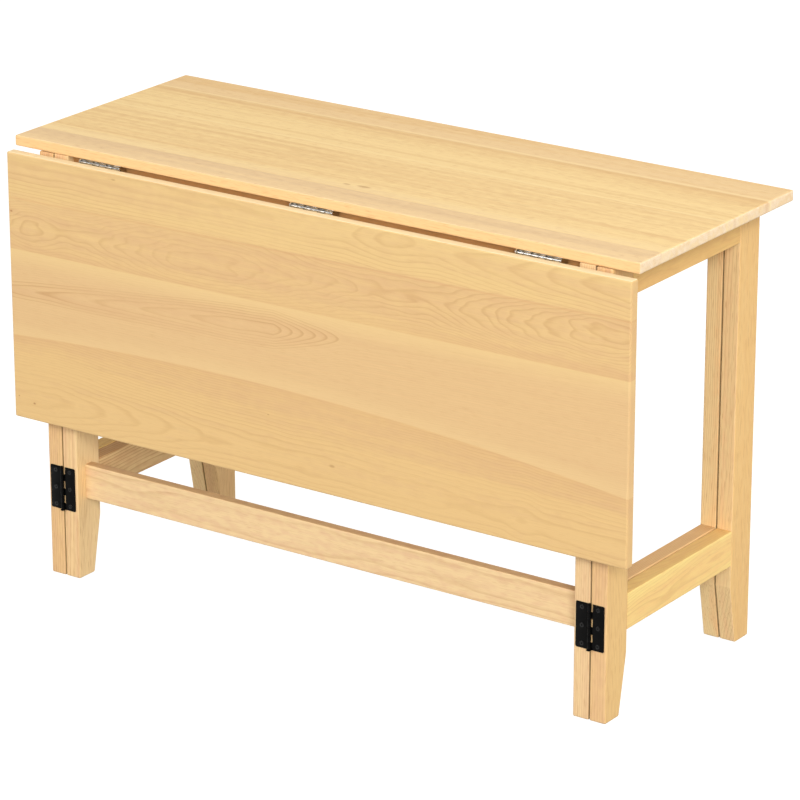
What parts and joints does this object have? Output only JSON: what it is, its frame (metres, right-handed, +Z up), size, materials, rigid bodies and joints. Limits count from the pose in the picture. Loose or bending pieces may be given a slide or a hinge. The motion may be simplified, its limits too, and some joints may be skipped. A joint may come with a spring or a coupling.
{
  "type": "drop-leaf dining table",
  "caption": "Drop-leaf dining table in light solid wood: a leaf hangs from the front of a fixed top on butt hinges, and gate legs hinged to the frame swing out to carry it.",
  "frame": {"origin": "on the floor, under the middle of the box of the closed table with its leaf hanging", "axes": "+X along the table to the right as seen from the leaf's side, +Y from the leaf to the rear edge, +Z up"},
  "size_m": [1.185, 0.4724, 0.75],
  "materials": {
    "panel_wood": "satin",
    "frame_wood": "satin",
    "black_steel": "satin",
    "zinc_steel": "satin"
  },
  "bodies": {
    "frame": {"top_panel": "panel_wood", "post_front_left": "frame_wood", "post_front_right": "frame_wood", "post_rear_left": "frame_wood", "post_rear_right": "frame_wood", "apron_front": "frame_wood", "apron_rear": "frame_wood", "apron_left": "frame_wood", "apron_right": "frame_wood", "stretcher_front": "frame_wood", "stretcher_left": "frame_wood", "stretcher_right": "frame_wood", "corner_block_front_left": "frame_wood", "corner_block_front_right": "frame_wood", "corner_block_rear_left": "frame_wood", "corner_block_rear_right": "frame_wood", "leaf_hinge_left_top_plate": "zinc_steel", "leaf_hinge_left_pin": "zinc_steel", "leaf_hinge_middle_top_plate": "zinc_steel", "leaf_hinge_middle_pin": "zinc_steel", "leaf_hinge_right_top_plate": "zinc_steel", "leaf_hinge_right_pin": "zinc_steel", "gate_left_lower_hinge_frame_plate": "black_steel", "gate_left_lower_hinge_pin": "black_steel", "gate_left_upper_hinge_frame_plate": "black_steel", "gate_left_upper_hinge_pin": "black_steel", "gate_right_lower_hinge_frame_plate": "black_steel", "gate_right_lower_hinge_pin": "black_steel", "gate_right_upper_hinge_frame_plate": "black_steel", "gate_right_upper_hinge_pin": "black_steel", "gate_left_frame_screw_1": "black_steel", "gate_left_frame_screw_2": "black_steel", "gate_left_frame_screw_3": "black_steel", "gate_right_frame_screw_1": "black_steel", "gate_right_frame_screw_2": "black_steel", "gate_right_frame_screw_3": "black_steel"},
    "leaf": {"drop_leaf": "panel_wood", "leaf_hinge_left_leaf_plate": "zinc_steel", "leaf_hinge_middle_leaf_plate": "zinc_steel", "leaf_hinge_right_leaf_plate": "zinc_steel"},
    "gate_left": {"gate_left_hinge_post": "frame_wood", "gate_left_swing_post": "frame_wood", "gate_left_top_rail": "frame_wood", "gate_left_bottom_rail": "frame_wood", "gate_left_lower_hinge_gate_plate": "black_steel", "gate_left_upper_hinge_gate_plate": "black_steel", "gate_left_gate_screw_1": "black_steel", "gate_left_gate_screw_2": "black_steel", "gate_left_gate_screw_3": "black_steel"},
    "gate_right": {"gate_right_hinge_post": "frame_wood", "gate_right_swing_post": "frame_wood", "gate_right_top_rail": "frame_wood", "gate_right_bottom_rail": "frame_wood", "gate_right_lower_hinge_gate_plate": "black_steel", "gate_right_upper_hinge_gate_plate": "black_steel", "gate_right_gate_screw_1": "black_steel", "gate_right_gate_screw_2": "black_steel", "gate_right_gate_screw_3": "black_steel"}
  },
  "joints": [
    {"name": "leaf_lift", "type": "hinge", "parent": "frame", "child": "leaf", "pos_m": [0, -0.2146, 0.7284], "axis": [-1, 0, 0], "range_deg": [0, 90]},
    {"name": "gate_left_swing", "type": "hinge", "parent": "frame", "child": "gate_left", "pos_m": [-0.515, -0.2144, 0], "axis": [0, 0, 1], "range_deg": [0, 8]},
    {"name": "gate_right_swing", "type": "hinge", "parent": "frame", "child": "gate_right", "pos_m": [0.515, -0.2144, 0], "axis": [0, 0, -1], "range_deg": [0, 8]}
  ]
}
